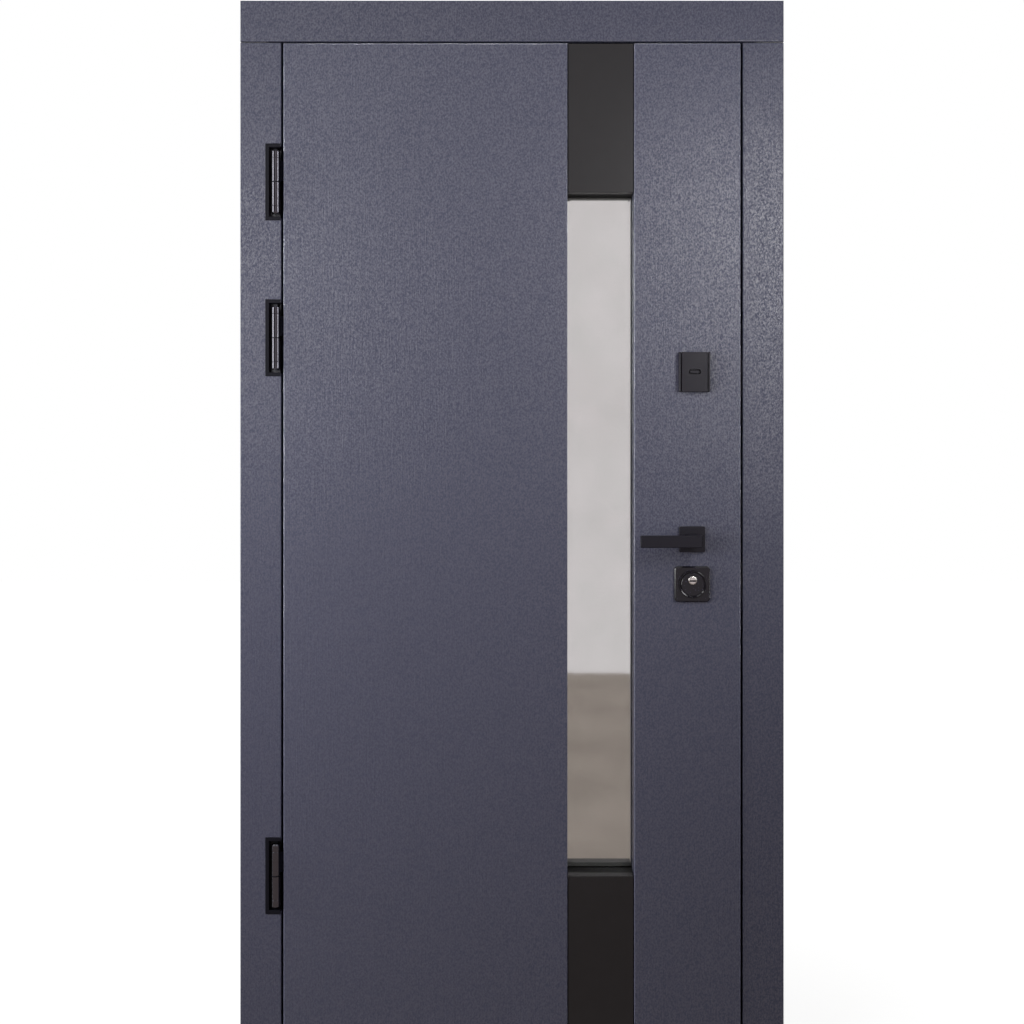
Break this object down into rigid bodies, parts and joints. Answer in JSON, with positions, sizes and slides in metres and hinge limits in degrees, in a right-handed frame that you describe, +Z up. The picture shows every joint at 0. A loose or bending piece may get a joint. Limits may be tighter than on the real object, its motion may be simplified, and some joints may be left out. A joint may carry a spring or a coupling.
{
  "type": "exterior door",
  "caption": "Steel-cased entrance door in its frame, with film-faced panels, a recessed mirrored glass strip, knuckle hinges in pocket trims, a lever handle and two locks.",
  "frame": {"origin": "middle of the threshold's underside, half way through the frame's depth", "axes": "+X to the right as seen from outside, +Y into the building, +Z up"},
  "size_m": [1.0604, 0.21, 2.1002],
  "materials": {
    "graphite_film": "satin",
    "dark_insert": "satin",
    "frame_paint": "satin",
    "black_hardware": "satin",
    "gloss_black_plate": "gloss",
    "black_plastic": "satin",
    "steel_edge": "satin",
    "nickel_cylinder": "satin",
    "mirror_glass": "polished",
    "clear_glass": "gloss",
    "spacer_aluminium": "satin",
    "seal_rubber": "matte"
  },
  "bodies": {
    "frame": {"threshold": "frame_paint", "hinge_jamb": "frame_paint", "lock_jamb": "frame_paint", "frame_head": "frame_paint", "frame_seal": "seal_rubber", "sill_seal": "seal_rubber", "hinge_side_architrave": "graphite_film", "lock_side_architrave": "graphite_film", "head_architrave": "graphite_film", "hinge_trim_top": "black_plastic", "hinge_trim_middle": "black_plastic", "hinge_trim_bottom": "black_plastic", "hinge_pintle_top": "gloss_black_plate", "hinge_pintle_middle": "gloss_black_plate", "hinge_pintle_bottom": "gloss_black_plate", "upper_strike_plate": "steel_edge", "lower_strike_plate": "steel_edge"},
    "leaf": {"leaf_casing": "frame_paint", "outer_hinge_panel": "graphite_film", "outer_lock_panel": "graphite_film", "outer_top_insert": "dark_insert", "outer_bottom_insert": "dark_insert", "outer_glazing_lining": "graphite_film", "outer_lining_ends": "dark_insert", "inner_glazing_lining": "frame_paint", "glazing_gasket": "seal_rubber", "mirror_pane": "mirror_glass", "glass_spacer": "spacer_aluminium", "inner_pane": "clear_glass", "inner_panel": "graphite_film", "hinge_socket_top": "gloss_black_plate", "hinge_socket_middle": "gloss_black_plate", "hinge_socket_bottom": "gloss_black_plate", "upper_lock_forend": "steel_edge", "lower_lock_forend": "steel_edge", "lock_bolts": "steel_edge", "latch_bolt": "steel_edge", "outer_handle_rose": "black_hardware", "inner_handle_rose": "black_hardware", "keyhole_guard": "black_hardware", "inner_keyhole_plate": "black_hardware", "cylinder_plate": "gloss_black_plate", "cylinder_guard": "gloss_black_plate", "lock_cylinder": "nickel_cylinder", "inner_cylinder_rose": "black_hardware", "thumb_turn": "black_hardware"},
    "handle": {"outer_lever": "black_hardware", "inner_lever": "black_hardware", "handle_spindle": "steel_edge"},
    "shutter": {"keyhole_shutter": "black_hardware"}
  },
  "joints": [
    {"name": "leaf_swing", "type": "hinge", "parent": "frame", "child": "leaf", "pos_m": [-0.461, -0.064, 1], "axis": [0, 0, -1], "range_deg": [0, 120]},
    {"name": "handle_turn", "type": "hinge", "parent": "leaf", "child": "handle", "pos_m": [0.35, -0.1, 1.05], "axis": [0, -1, 0], "range_deg": [0, 40], "stiffness_Nm_per_rad": 1.5, "springref_deg": -34.38},
    {"name": "keyhole_shutter_slide", "type": "slide", "parent": "leaf", "child": "shutter", "axis": [0, 0, 1], "range_m": [0, 0.032]}
  ]
}
